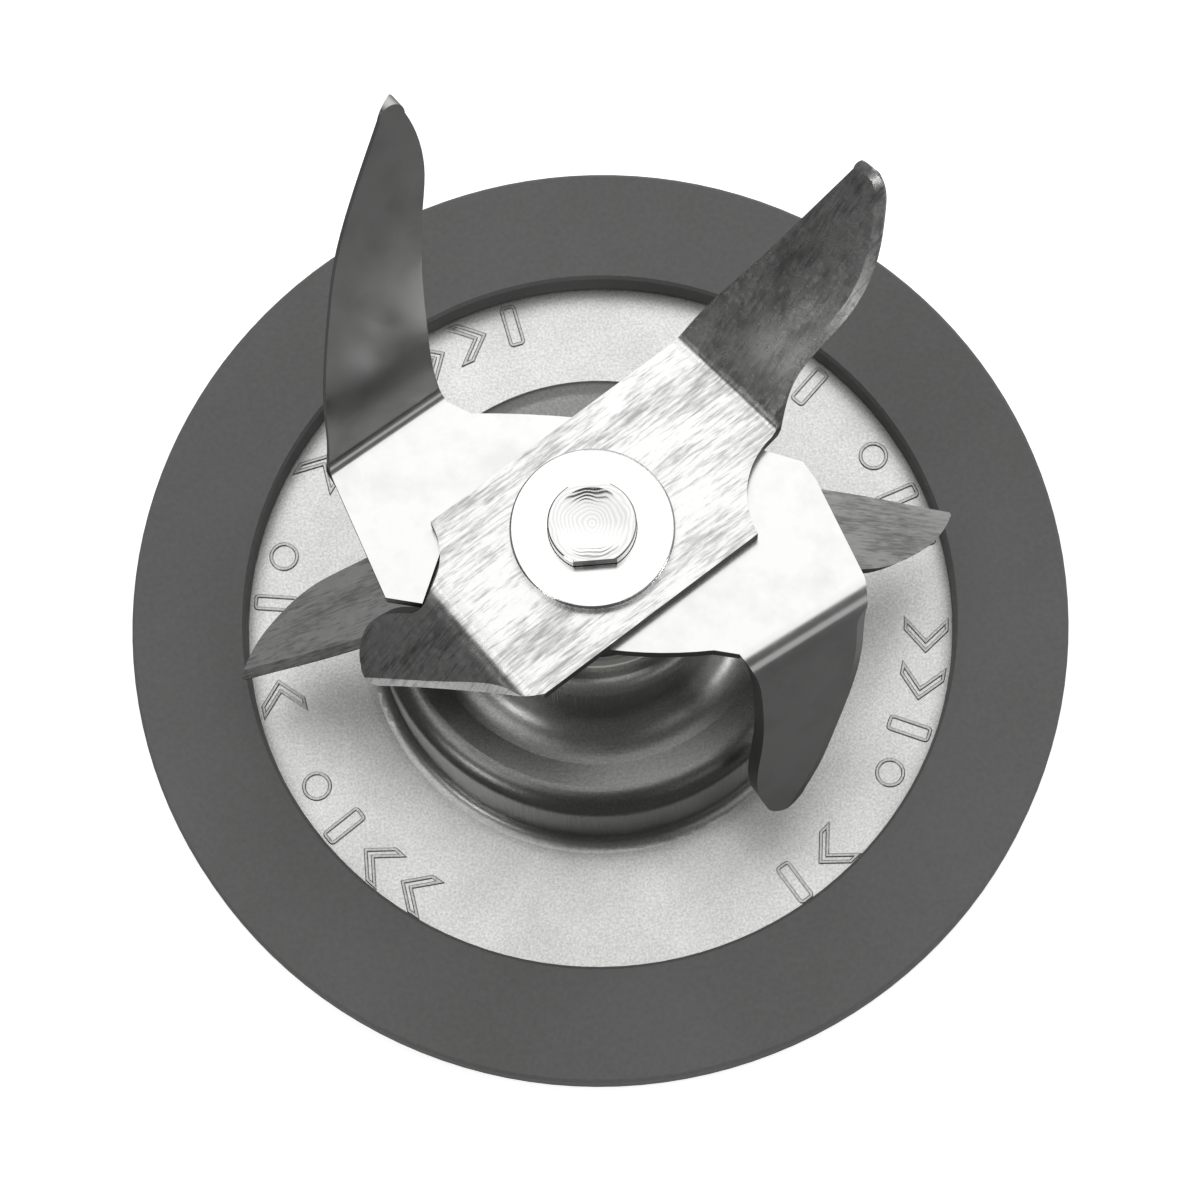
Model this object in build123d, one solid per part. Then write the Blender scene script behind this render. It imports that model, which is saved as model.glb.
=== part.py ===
from build123d import *
import math
import os

# Blender blade assembly, in millimetres, +Z up.
# The origin is on the spindle's axis, in the flange's flat underside.
# The blades stand as they were photographed: +X is the photo's right and +Y is away from the camera.

# Base pressing: one drawn sheet, from the flange up to the tower's lip
sheet = 0.8
flange_radius = 36.6
foot_cove = 1.2
dome_radius = 17.7
dome_height = 11.3
dome_shoulder = 2.0
tower_cove = 3.5
tower_radius = 10.4
tower_height = 20.2
tower_edge = 1.2
lip_hole_radius = 6.0

# Sealing ring that lies on the flange
ring_outer_radius = 37.5
ring_inner_radius = 28.4
ring_thickness = 2.9
ring_edge = 0.25

# Spindle: drive head with a square socket, journal, and an end with two flats that carries the blades
journal_radius = 4.0
head_radius = 5.5
head_bottom = 0.5
head_chamfer = 0.5
socket_across_flats = 6.4
socket_depth = 5.0
socket_mouth = 0.4
end_radius = 3.28
end_across_flats = 5.7
end_stand_out = 1.4
end_chamfer = 0.1
dish_radius = 2.7
dish_depth = 0.38

# Clearances
running_clearance = 0.03
axial_play = 0.05
hole_clearance = 0.04
loose_clearance = 0.5

# Bearing parts inside the tower
sleeve_wall = 3.1
sleeve_tail = 3.0
sleeve_chamfer = 0.5
bush_length = 3.4
thrust_washer_thickness = 0.5
felt_length = 2.2
seal_pocket_wall = 2.0
seal_height = 1.5
seal_cover_thickness = 0.6
seal_groove_radius = 5.6
backing_plate_thickness = 1.2
circlip_thickness = 1.1
circlip_groove_depth = 0.8
circlip_width = 1.9
circlip_gap_deg = 40.0
circlip_ear_radius = 1.35
circlip_ear_hole = 0.55

# Collar and washers that clamp the blades
collar_washer_thickness = 0.7
collar_washer_radius = 8.4
collar_skirt_radius = 8.0
collar_skirt_height = 1.1
collar_neck_radius = 6.0
collar_neck_flare = 1.2
collar_height = 3.35
shoulder_height_in_collar = 1.6
clamp_washer_radius = 6.1
clamp_washer_thickness = 1.0
clamp_washer_edge = 0.2

# Blades: stamped sheet, bent once at each end
blade_sheet = 1.4
bend_inner_radius = 1.2
ground_width = 1.1
ground_depth = 1.0
land_width = 0.7
land_depth = 0.2
bevel_margin = 0.3

upper_turn_deg = 33.2
upper_far_side = 7.9
upper_near_side = 7.6
upper_left_end = 9.0
upper_right_end = 9.5
upper_waist = 1.2
upper_left_hollow = 0.45
upper_up_bend = 13.5
upper_up_skew_deg = 7.5
upper_up_root = 10.4
upper_up_angle_deg = 65.0
upper_up_reach = 26.9
upper_down_bend = 10.2
upper_down_skew_deg = 3.4
upper_down_root = 12.1
upper_down_angle_deg = 52.0
upper_down_reach = 10.2

middle_turn_deg = -14.0
middle_far_side = 8.2
middle_near_side = 7.7
middle_right_end = 14.4
middle_left_end = 14.3
middle_crown = 0.8
middle_relief_run = 1.9
middle_relief_depth = 0.6
middle_corner_cut = 1.1
middle_up_root = 10.35
middle_up_corner = 12.5
middle_up_turn_deg = 45.2
middle_up_angle_deg = 65.0
middle_up_reach = 27.0
middle_down_root = 10.95
middle_down_corner = 12.1
middle_down_turn_deg = 42.0
middle_down_angle_deg = 66.0
middle_down_reach = 16.4
middle_notch_clearance = 0.35
middle_notch_left = 11.55
middle_notch_slant = 0.6
middle_notch_length = 4.0
middle_notch_turn_deg = 31.0
middle_notch_depth = 4.0

lower_turn_deg = 4.0
lower_half_width = 6.0
lower_bend = 8.5
lower_root = 8.0
lower_root_offset = 0.5
lower_angle_deg = 40.0
lower_reach = 24.0

# Heights worked out from the sizes above
flange_top = sheet
ring_top = flange_top + ring_thickness
lip_top = tower_height
lip_bottom = tower_height - sheet
tower_bore = tower_radius - sheet
crown_bottom = dome_height - sheet
sleeve_bore = tower_bore - sleeve_wall
seal_pocket_radius = tower_bore - seal_pocket_wall
seal_top = lip_bottom - seal_cover_thickness
seal_bottom = seal_top - seal_height
upper_bush_bottom = seal_bottom - bush_length
felt_bottom = upper_bush_bottom - felt_length
lower_bush_bottom = felt_bottom - bush_length
steel_washer_bottom = lower_bush_bottom - thrust_washer_thickness
fibre_washer_bottom = steel_washer_bottom - thrust_washer_thickness
head_top = fibre_washer_bottom - axial_play
plate_bottom = crown_bottom - backing_plate_thickness
circlip_bottom = plate_bottom - circlip_thickness
sleeve_bottom = crown_bottom - sleeve_tail
collar_washer_top = lip_top + collar_washer_thickness
collar_bottom = collar_washer_top + axial_play
collar_top = collar_bottom + collar_height
shoulder = collar_bottom + shoulder_height_in_collar
lower_top = collar_top + blade_sheet
middle_top = lower_top + blade_sheet
upper_top = middle_top + blade_sheet
clamp_top = upper_top + clamp_washer_thickness
end_top = clamp_top + end_stand_out
bend_outer_radius = bend_inner_radius + blade_sheet


def turned(points_and_arcs):
    """A solid of revolution about Z from a closed chain of lines and arcs drawn in (radius, height)."""
    return revolve(Plane.XZ * make_face(points_and_arcs), axis=Axis.Z)


def corner_arc(centre, radius, start_deg, size_deg):
    return CenterArc(centre, radius, start_deg, size_deg)


def washer(outer, inner, bottom, thickness):
    """A flat ring, or a tube."""
    ring = Circle(outer) - Circle(inner)
    return Pos(0, 0, bottom) * extrude(ring, thickness)


def two_flats(radius, across_flats):
    """Section of the spindle's end: a circle with two flats, which face the camera and away from it."""
    return Circle(radius) & Rectangle(3 * radius, across_flats)


def save(node, solid):
    export_step(solid, os.path.join("parts", node + ".step"))


# The base pressing
def make_base():
    cove_centre = (dome_radius + foot_cove, flange_top + foot_cove)
    shoulder_centre = (dome_radius - dome_shoulder, dome_height - dome_shoulder)
    tower_cove_centre = (tower_radius + tower_cove, dome_height + tower_cove)
    edge_centre = (tower_radius - tower_edge, tower_height - tower_edge)
    outside = [
        Line((flange_radius, flange_top), (cove_centre[0], flange_top)),
        corner_arc(cove_centre, foot_cove, 270, -90),
        Line((dome_radius, cove_centre[1]), (dome_radius, shoulder_centre[1])),
        corner_arc(shoulder_centre, dome_shoulder, 0, 90),
        Line((shoulder_centre[0], dome_height), (tower_cove_centre[0], dome_height)),
        corner_arc(tower_cove_centre, tower_cove, 270, -90),
        Line((tower_radius, tower_cove_centre[1]), (tower_radius, edge_centre[1])),
        corner_arc(edge_centre, tower_edge, 0, 90),
        Line((edge_centre[0], lip_top), (lip_hole_radius, lip_top)),
    ]
    inside = [
        Line((lip_hole_radius, lip_top), (lip_hole_radius, lip_bottom)),
        Line((lip_hole_radius, lip_bottom), (edge_centre[0], lip_bottom)),
        corner_arc(edge_centre, tower_edge - sheet, 90, -90),
        Line((tower_bore, edge_centre[1]), (tower_bore, tower_cove_centre[1])),
        corner_arc(tower_cove_centre, tower_cove + sheet, 180, 90),
        Line((tower_cove_centre[0], crown_bottom), (shoulder_centre[0], crown_bottom)),
        corner_arc(shoulder_centre, dome_shoulder - sheet, 90, -90),
        Line((dome_radius - sheet, shoulder_centre[1]), (dome_radius - sheet, cove_centre[1])),
        corner_arc(cove_centre, foot_cove + sheet, 180, 90),
        Line((cove_centre[0], 0), (flange_radius, 0)),
        Line((flange_radius, 0), (flange_radius, flange_top)),
    ]
    return turned(outside + inside)


# The rubber ring, with its edges just broken
def make_ring():
    ring = washer(ring_outer_radius, ring_inner_radius, flange_top, ring_thickness)
    return chamfer(ring.edges().filter_by(GeomType.CIRCLE), ring_edge)


# The spindle
def make_spindle():
    head = Pos(0, 0, head_bottom) * extrude(Circle(head_radius), head_top - head_bottom)
    head = chamfer(head.edges().filter_by(GeomType.CIRCLE), head_chamfer)
    journal = Pos(0, 0, head_top) * extrude(Circle(journal_radius), shoulder - head_top)
    end = Pos(0, 0, shoulder) * extrude(Circle(end_radius), end_top - shoulder)
    end = chamfer(end.edges().group_by(Axis.Z)[-1], end_chamfer)
    flats = Pos(0, 0, shoulder) * extrude(Rectangle(3 * end_radius, end_across_flats), end_top - shoulder)
    end = end & flats
    socket = Pos(0, 0, head_bottom) * extrude(
        Rectangle(socket_across_flats, socket_across_flats), socket_depth)
    mouth = Pos(0, 0, head_bottom) * loft([
        Rectangle(socket_across_flats + 2 * socket_mouth, socket_across_flats + 2 * socket_mouth).face(),
        Pos(0, 0, socket_mouth) * Rectangle(socket_across_flats, socket_across_flats).face(),
    ])
    dish_sphere_radius = (dish_radius ** 2 + dish_depth ** 2) / (2 * dish_depth)
    dish = Pos(0, 0, end_top + dish_sphere_radius - dish_depth) * Sphere(dish_sphere_radius)
    return head + journal + end - socket - mouth - dish


# The turned sleeve that holds the bushes, with a pocket for the seal and a groove for the circlip
def make_sleeve():
    sleeve = Pos(0, 0, sleeve_bottom) * extrude(Circle(tower_bore), lip_bottom - sleeve_bottom)
    sleeve = chamfer(sleeve.edges().filter_by(GeomType.CIRCLE), sleeve_chamfer)
    bore = Pos(0, 0, sleeve_bottom) * extrude(Circle(sleeve_bore), lip_bottom - sleeve_bottom)
    pocket = Pos(0, 0, seal_bottom) * extrude(Circle(seal_pocket_radius), lip_bottom - seal_bottom)
    groove = washer(tower_bore + 1, tower_bore - circlip_groove_depth, circlip_bottom, circlip_thickness)
    return sleeve - bore - pocket - groove


# The lip seal: a rubber ring with a groove in its top, which makes the lip
def make_seal():
    body = washer(seal_pocket_radius, journal_radius + running_clearance, seal_bottom, seal_height)
    lip_outer = (journal_radius + seal_groove_radius) / 2
    groove = washer(seal_groove_radius, lip_outer, seal_top - seal_height / 2, seal_height)
    return body - groove


# The collar under the blades: a skirt that throws liquid off, a flared neck, and a hole with two flats
def make_collar():
    neck_foot = collar_bottom + collar_skirt_height
    flare_centre = (collar_neck_radius + collar_neck_flare, neck_foot + collar_neck_flare)
    collar = turned([
        Line((0, collar_bottom), (collar_skirt_radius, collar_bottom)),
        Line((collar_skirt_radius, collar_bottom), (collar_skirt_radius, neck_foot)),
        Line((collar_skirt_radius, neck_foot), (flare_centre[0], neck_foot)),
        corner_arc(flare_centre, collar_neck_flare, 270, -90),
        Line((collar_neck_radius, flare_centre[1]), (collar_neck_radius, collar_top)),
        Line((collar_neck_radius, collar_top), (0, collar_top)),
        Line((0, collar_top), (0, collar_bottom)),
    ])
    journal_hole = Pos(0, 0, collar_bottom) * extrude(
        Circle(journal_radius + hole_clearance), shoulder - collar_bottom)
    end_hole = Pos(0, 0, shoulder) * extrude(blade_hole(), collar_top - shoulder)
    return collar - journal_hole - end_hole


def blade_hole():
    return two_flats(end_radius + hole_clearance, end_across_flats + 2 * hole_clearance)


def make_clamp_washer():
    disc = Pos(0, 0, upper_top) * extrude(Circle(clamp_washer_radius), clamp_washer_thickness)
    disc = fillet(disc.edges().filter_by(GeomType.CIRCLE).sort_by(Axis.Z)[-1], clamp_washer_edge)
    return disc - Pos(0, 0, upper_top) * extrude(blade_hole(), clamp_washer_thickness)


# The circlip: an open ring with two eared ends
def make_circlip():
    inner = tower_bore - circlip_groove_depth
    middle = inner + circlip_width / 2
    ring = Circle(inner + circlip_width) - Circle(inner)
    reach = 2 * (inner + circlip_width)
    half_gap = math.radians(circlip_gap_deg / 2)
    wedge = make_face(Polyline(
        (0, 0),
        (reach * math.cos(half_gap), -reach * math.sin(half_gap)),
        (reach * math.cos(half_gap), reach * math.sin(half_gap)),
        close=True,
    ))
    ring = ring - wedge
    for side in (-1, 1):
        ear_angle = side * circlip_gap_deg / 2
        ear_place = Rot(0, 0, ear_angle) * Pos(middle + circlip_ear_radius / 2, 0)
        ring = ring + ear_place * Circle(circlip_ear_radius)
        ring = ring - ear_place * Circle(circlip_ear_hole)
    ring = ring - Circle(inner)
    return Pos(0, 0, circlip_bottom) * extrude(ring, circlip_thickness)


def sheet_profile(upward, angle_deg, reach):
    """Side view of a bend and its wing: x is outward from the bend line and y is up from the top face."""
    turn = math.radians(angle_deg)
    rise = 1 if upward else -1
    top_radius = bend_inner_radius if upward else bend_outer_radius
    low_radius = bend_outer_radius if upward else bend_inner_radius
    centre = (0, top_radius) if upward else (0, -top_radius)
    start_deg = -90 if upward else 90
    top_end = (top_radius * math.sin(turn), centre[1] - rise * top_radius * math.cos(turn))
    low_end = (low_radius * math.sin(turn), centre[1] - rise * low_radius * math.cos(turn))
    run = (reach * math.cos(turn), rise * reach * math.sin(turn))
    top_tip = (top_end[0] + run[0], top_end[1] + run[1])
    low_tip = (low_end[0] + run[0], low_end[1] + run[1])
    return make_face([
        corner_arc(centre, top_radius, start_deg, rise * angle_deg),
        Line(top_end, top_tip),
        Line(top_tip, low_tip),
        Line(low_tip, low_end),
        corner_arc(centre, low_radius, start_deg, rise * angle_deg),
        Line((0, -blade_sheet), (0, 0)),
    ])


def beside(edge, distance):
    """The points of an edge moved to its left by a distance."""
    moved = []
    for number, point in enumerate(edge):
        before = edge[max(number - 1, 0)]
        after = edge[min(number + 1, len(edge) - 1)]
        run = Vector(after[0] - before[0], after[1] - before[1]).normalized()
        moved.append((point[0] - distance * run.Y, point[1] + distance * run.X))
    return moved


def beyond(before, point, distance):
    """A point further on along the line that comes from before through point."""
    run = (Vector(*point) - Vector(*before)).normalized() * distance
    return (point[0] + run.X, point[1] + run.Y)


def bevel_cutter(edge, from_top):
    """What the grinder takes off along an edge of the flat wing. The sheet lies on the edge's right."""
    width = land_width if from_top else ground_width
    depth = land_depth if from_top else ground_depth
    outer = beside(edge, ground_width)
    faces = []
    for level in (-bevel_margin * depth, depth + bevel_margin * depth):
        inner = beside(edge, width * (level / depth - 1))
        height = -level if from_top else level - blade_sheet
        faces.append(Pos(0, 0, height) * make_face([
            Spline(*inner),
            Polyline(inner[-1], *reversed(outer), inner[0]),
        ]))
    return loft(faces, ruled=True)


def make_wing(start, end, top, upward, angle_deg, reach, first_edge, last_edge, ground):
    """A wing bent off the plate along the line from start to end, with the plate on the line's right.
    The edges are points (across, share of the reach) in the flat wing. The first edge runs from start
    to the tip, with across counted from start, and the last edge from the tip to end, counted from end.
    What is ground is a list of edges, each with whether it is ground from the top."""
    bend_line = Vector(*end) - Vector(*start)
    root = bend_line.length
    along = bend_line.normalized()
    outward = Vector(-along.Y, along.X)
    turn = math.radians(angle_deg)
    rise = 1 if upward else -1
    top_radius = bend_inner_radius if upward else bend_outer_radius
    corner = Vector(start[0], start[1], top)
    side_plane = Plane(corner, x_dir=outward, z_dir=outward.cross(Vector(0, 0, 1)))
    profile = side_plane * sheet_profile(upward, angle_deg, 1.2 * reach)
    strip = extrude(profile, 2 * (root + reach), both=True)
    bend_end = corner + outward * top_radius * math.sin(turn)
    bend_end = bend_end + Vector(0, 0, rise * top_radius * (1 - math.cos(turn)))
    to_tip = outward * math.cos(turn) + Vector(0, 0, rise * math.sin(turn))
    flat_plane = Plane(bend_end, x_dir=along, z_dir=along.cross(to_tip))
    base = -bend_outer_radius * math.sin(turn) - blade_sheet
    straight = -top_radius * math.sin(turn)
    first = [(0, straight)] + [(across, share * reach) for across, share in first_edge]
    last = [(root + across, share * reach) for across, share in last_edge] + [(root, straight)]
    tip = ((first[-1][0] + last[0][0]) / 2, reach)
    outline = make_face([
        Line((0, base), first[0]),
        Spline(*first),
        ThreePointArc(first[-1], tip, last[0]),
        Spline(*last),
        Line(last[-1], (root, base)),
        Line((root, base), (0, base)),
    ])
    prism = extrude(flat_plane * outline, 2 * bend_outer_radius, both=True)
    wing = strip & prism
    nose = abs(last[0][0] - first[-1][0]) + abs(last[0][1] - first[-1][1])
    for edge_name, from_top in ground:
        short_of_bend = from_top == upward
        if edge_name == "first":
            run_out = beyond(first[-2], first[-1], nose + ground_width)
            edge = (first[1:] if short_of_bend else [(0, base)] + first) + [run_out]
        else:
            run_out = beyond(last[1], last[0], nose + ground_width)
            edge = [run_out] + (last[:-1] if short_of_bend else last + [(root, base)])
        wing = wing - flat_plane * bevel_cutter(edge, from_top)
    return wing


def along_line(start, turn_deg, length):
    """The far end of a line from start."""
    turn = math.radians(turn_deg)
    return (start[0] + length * math.cos(turn), start[1] + length * math.sin(turn))


def stamped_plate(points, top, bows):
    """A flat plate. A side that isn't straight is in bows: its number and the point it curves through."""
    sides = []
    for number, point in enumerate(points):
        next_point = points[(number + 1) % len(points)]
        if number in bows:
            sides.append(ThreePointArc(point, bows[number], next_point))
        else:
            sides.append(Line(point, next_point))
    return Pos(0, 0, top - blade_sheet) * extrude(make_face(sides), blade_sheet)


def finish_blade(plate, wings, top, turn_deg):
    """Joins plate and wings, turns the blade to its place and pierces the hole for the spindle."""
    blade = plate
    for wing in wings:
        blade = blade + wing
    blade = Rot(0, 0, turn_deg) * blade
    return blade - Pos(0, 0, top - blade_sheet) * extrude(blade_hole(), blade_sheet)


def upper_down_line():
    """The bend line of the upper blade's drooping wing, in the blade's own directions."""
    start = (-upper_down_bend, -upper_near_side)
    return start, along_line(start, 90 + upper_down_skew_deg, upper_down_root)


# The upper blade, which lies along its own x: its right wing stands up and its left wing droops
def make_upper_blade():
    up_start = (upper_up_bend, upper_far_side)
    up_end = along_line(up_start, -90 + upper_up_skew_deg, upper_up_root)
    down_start, down_end = upper_down_line()
    near_corner = (upper_right_end, -upper_near_side)
    side_middle = (Vector(*up_end) + Vector(*near_corner)) / 2
    waist = (side_middle.X - upper_waist, side_middle.Y + upper_waist / 2)
    far_corner = (-upper_left_end, upper_far_side)
    end_middle = (Vector(*down_end) + Vector(*far_corner)) / 2
    hollow = (end_middle.X + upper_left_hollow, end_middle.Y)
    plate = stamped_plate([
        up_start,
        up_end,
        near_corner,
        down_start,
        down_end,
        far_corner,
    ], upper_top, {1: waist, 4: hollow})
    up_wing = make_wing(
        up_start, up_end, upper_top, True, upper_up_angle_deg, upper_up_reach,
        [(1.0, 0.18), (2.4, 0.4), (4.0, 0.67), (5.65, 0.96)],
        [(-3.6, 0.997), (-2.85, 0.993), (-2.1, 0.97), (-1.4, 0.915), (-0.6, 0.825), (0.25, 0.65), (0.2, 0.52),
         (-0.6, 0.315), (-0.93, 0.154)],
        [("first", False), ("last", False), ("last", True)])
    down_wing = make_wing(
        down_start, down_end, upper_top, False, upper_down_angle_deg, upper_down_reach,
        [(1.96, 0.01), (5.6, 0.4), (10.3, 0.94)],
        [(0.4, 0.94), (1.2, 0.84), (1.65, 0.71), (1.75, 0.565), (1.1, 0.38), (0.1, 0.25), (-0.75, 0.12),
         (-0.85, -0.01)],
        [("first", False), ("first", True)])
    return finish_blade(plate, [up_wing, down_wing], upper_top, upper_turn_deg)


# The middle blade: both bends are skewed across the plate's corners
def make_middle_blade():
    up_end = (-middle_up_corner, middle_far_side + middle_relief_depth / 2)
    up_start = along_line(up_end, 180 + middle_up_turn_deg, middle_up_root)
    down_end = (middle_down_corner, middle_relief_depth - middle_near_side)
    down_start = along_line(down_end, middle_down_turn_deg, middle_down_root)
    near_side = -middle_near_side + middle_relief_depth
    notch_right = middle_notch_length - middle_notch_left
    notch_top = near_side + middle_notch_depth
    plate = stamped_plate([
        up_start,
        up_end,
        (up_end[0] + middle_relief_run, middle_far_side - middle_relief_depth / 2),
        (middle_right_end, middle_far_side),
        (middle_right_end + middle_corner_cut, middle_far_side - middle_corner_cut),
        down_start,
        down_end,
        (down_end[0] - middle_relief_run, near_side),
        (notch_right, near_side),
        (notch_right, notch_top),
        (middle_notch_slant - middle_notch_left, notch_top),
        (-middle_notch_left, near_side),
        (-middle_left_end, near_side),
    ], middle_top, {2: (0, middle_far_side + middle_crown), 7: (0, near_side - 2 * middle_relief_depth)})
    up_wing = make_wing(
        up_start, up_end, middle_top, True, middle_up_angle_deg, middle_up_reach,
        [(0.9, 0.04), (2.0, 0.17), (3.8, 0.34), (5.7, 0.49), (7.8, 0.634), (10.5, 0.773), (14.9, 0.968)],
        [(6.5, 0.95), (6.64, 0.867), (6.0, 0.73), (4.79, 0.624), (3.35, 0.493), (1.19, 0.22), (0.37, 0.09)],
        [("first", False)])
    down_wing = make_wing(
        down_start, down_end, middle_top, False, middle_down_angle_deg, middle_down_reach,
        [(1.15, -0.02), (1.95, 0.14), (2.95, 0.31), (4.55, 0.49), (6.35, 0.66), (8.15, 0.82), (10.0, 0.94)],
        [(2.6, 0.87), (2.8, 0.74), (2.3, 0.61), (1.2, 0.44), (0.2, 0.2), (-0.2, 0.03)],
        [("first", False), ("first", True)])
    blade = finish_blade(plate, [up_wing, down_wing], middle_top, middle_turn_deg)
    return blade - clear_of_upper_wing()


def clear_of_upper_wing():
    """The middle plate's corner that is cut away, along the upper blade's drooping wing and across it,
    so that the wing can pass down beside the plate."""
    start, end = upper_down_line()
    length = upper_down_root + upper_far_side
    along = (Vector(*end) - Vector(*start)).normalized()
    outward = Vector(-along.Y, along.X)
    side = outward.rotate(Axis.Z, middle_notch_turn_deg)
    corner = Vector(*end) + (along - outward) * middle_notch_clearance
    outline = Polyline(
        corner,
        corner + side * length,
        corner + side * length - along * length,
        corner - along * length,
        close=True,
    )
    block = extrude(make_face(outline), blade_sheet)
    return Rot(0, 0, upper_turn_deg) * Pos(0, 0, middle_top - blade_sheet) * block


# The lower blade: a narrow blade with a wider middle, and both wings drooping
def make_lower_blade():
    upper_corner = lower_root_offset + lower_root / 2
    lower_corner = upper_corner - lower_root
    plate = stamped_plate([
        (lower_bend, upper_corner),
        (lower_bend, lower_corner),
        (lower_bend / 2, -lower_half_width),
        (-lower_bend / 2, -lower_half_width),
        (-lower_bend, -upper_corner),
        (-lower_bend, -lower_corner),
        (-lower_bend / 2, lower_half_width),
        (lower_bend / 2, lower_half_width),
    ], lower_top, {})
    wing = make_wing(
        (lower_bend, upper_corner), (lower_bend, lower_corner), lower_top, False,
        lower_angle_deg, lower_reach,
        [(0.25, 0.01), (0.6, 0.2), (1.0, 0.44), (1.25, 0.63), (1.6, 0.81), (1.95, 0.998)],
        [(-5.6, 0.99), (-4.4, 0.945), (-3.3, 0.885), (-2.15, 0.79), (-1.0, 0.645), (-0.6, 0.5), (-0.3, 0.3)],
        [("first", False), ("first", True)])
    return finish_blade(plate, [wing, Rot(0, 0, 180) * wing], lower_top, lower_turn_deg)


# Every piece, each in a file of its own
def main():
    os.makedirs("parts", exist_ok=True)
    save("base_flange", make_base())
    save("sealing_ring", make_ring())
    save("bearing_sleeve", make_sleeve())
    bush_hole = journal_radius + running_clearance
    save("upper_bush", washer(sleeve_bore, bush_hole, upper_bush_bottom, bush_length))
    save("lower_bush", washer(sleeve_bore, bush_hole, lower_bush_bottom, bush_length))
    save("oil_felt", washer(sleeve_bore, journal_radius + loose_clearance, felt_bottom, felt_length))
    save("shaft_seal", make_seal())
    save("seal_cover", washer(
        seal_pocket_radius, journal_radius + loose_clearance, seal_top, seal_cover_thickness))
    washer_hole = journal_radius + hole_clearance
    thrust_radius = sleeve_bore - loose_clearance / 2
    save("steel_thrust_washer", washer(
        thrust_radius, washer_hole, steel_washer_bottom, thrust_washer_thickness))
    save("fibre_thrust_washer", washer(
        thrust_radius, washer_hole, fibre_washer_bottom, thrust_washer_thickness))
    save("backing_plate", washer(
        dome_radius - dome_shoulder, tower_bore + hole_clearance, plate_bottom, backing_plate_thickness))
    save("sleeve_circlip", make_circlip())
    save("collar_washer", washer(
        collar_washer_radius, journal_radius + loose_clearance, lip_top, collar_washer_thickness))
    save("spindle", make_spindle())
    save("spacer_collar", make_collar())
    save("lower_blade", make_lower_blade())
    save("middle_blade", make_middle_blade())
    save("upper_blade", make_upper_blade())
    save("clamp_washer", make_clamp_washer())


main()
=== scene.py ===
import bpy
import math
from mathutils import Matrix, Vector


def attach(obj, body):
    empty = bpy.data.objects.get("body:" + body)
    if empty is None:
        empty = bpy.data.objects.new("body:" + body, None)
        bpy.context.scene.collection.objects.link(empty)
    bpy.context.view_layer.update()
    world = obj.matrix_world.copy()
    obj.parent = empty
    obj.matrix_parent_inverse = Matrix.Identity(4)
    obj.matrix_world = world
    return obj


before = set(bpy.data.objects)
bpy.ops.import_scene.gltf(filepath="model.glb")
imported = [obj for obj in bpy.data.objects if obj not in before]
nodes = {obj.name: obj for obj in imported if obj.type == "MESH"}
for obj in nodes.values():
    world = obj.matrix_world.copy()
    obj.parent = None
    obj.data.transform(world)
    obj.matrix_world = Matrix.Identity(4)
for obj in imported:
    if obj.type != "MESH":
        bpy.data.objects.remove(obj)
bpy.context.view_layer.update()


# The camera stands high in front of the blades and leans a little, as the photographer's did.
# It looks at a point just behind the spindle, in the flange's top face.
target = Vector((0.000145, 0.0019, 0.0008))
camera_distance = 0.3
elevation = math.radians(75.52)
lean = math.radians(-4.5)
camera_data = bpy.data.cameras.new("camera")
camera_data.lens = 111.2
camera_data.sensor_width = 36
camera_data.clip_start = 0.01
camera_data.clip_end = 20
camera = bpy.data.objects.new("camera", camera_data)
bpy.context.scene.collection.objects.link(camera)
turn = Matrix.Rotation(math.pi / 2 - elevation, 4, "X") @ Matrix.Rotation(lean, 4, "Z")
camera.matrix_world = Matrix.Translation(target) @ turn @ Matrix.Translation((0, 0, camera_distance))
bpy.context.scene.camera = camera
bpy.context.scene.view_settings.view_transform = "Standard"


# The floor is a plain white board under the flange. It glows a little, so that it stays white round the
# part, and polished steel doesn't mirror it: in the photograph the bent wings see only dark surroundings.
floor_radius = 3
floor_drop = 0.00005


def linear(hex_colour):
    """The linear RGBA that a shader takes, from an sRGB hex value as seen on the object."""
    parts = []
    for start in (1, 3, 5):
        part = int(hex_colour[start:start + 2], 16) / 255
        parts.append(part / 12.92 if part <= 0.04045 else ((part + 0.055) / 1.055) ** 2.4)
    return (*parts, 1)


bpy.ops.object.select_all(action="DESELECT")
bpy.ops.mesh.primitive_circle_add(
    vertices=96, radius=floor_radius, fill_type="NGON", location=(0, 0, -floor_drop))
floor = bpy.context.object
floor.name = "floor"
white_board = bpy.data.materials.new("white board")
white_board.use_nodes = True
shader = white_board.node_tree.nodes["Principled BSDF"]
shader.inputs["Base Color"].default_value = linear("#F4F4F3")
shader.inputs["Roughness"].default_value = 0.9
shader.inputs["Specular IOR Level"].default_value = 0.1
shader.inputs["Emission Color"].default_value = (1, 1, 1, 1)
shader.inputs["Emission Strength"].default_value = 0.72
floor.data.materials.append(white_board)
floor.visible_glossy = False


# The studio: a large soft box overhead, a small one at each side in front, a low strip of light under
# each of these, and a weak box far out on the left. The bends of the blades mirror the small boxes, and
# the cove of the tower mirrors the strips.
def add_node(tree, kind, inputs, stops=(), **settings):
    """Adds a node. Each input is a value, or another node's output that feeds it. A colour ramp also has
    two stops, each with its position and its colour."""
    node = tree.nodes.new(kind)
    for name, value in settings.items():
        setattr(node, name, value)
    for name, value in inputs.items():
        if isinstance(value, bpy.types.NodeSocket):
            tree.links.new(value, node.inputs[name])
        else:
            node.inputs[name].default_value = value
    for number, (position, hex_colour) in enumerate(stops):
        node.color_ramp.elements[number].position = position
        node.color_ramp.elements[number].color = linear(hex_colour)
    return node


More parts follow.
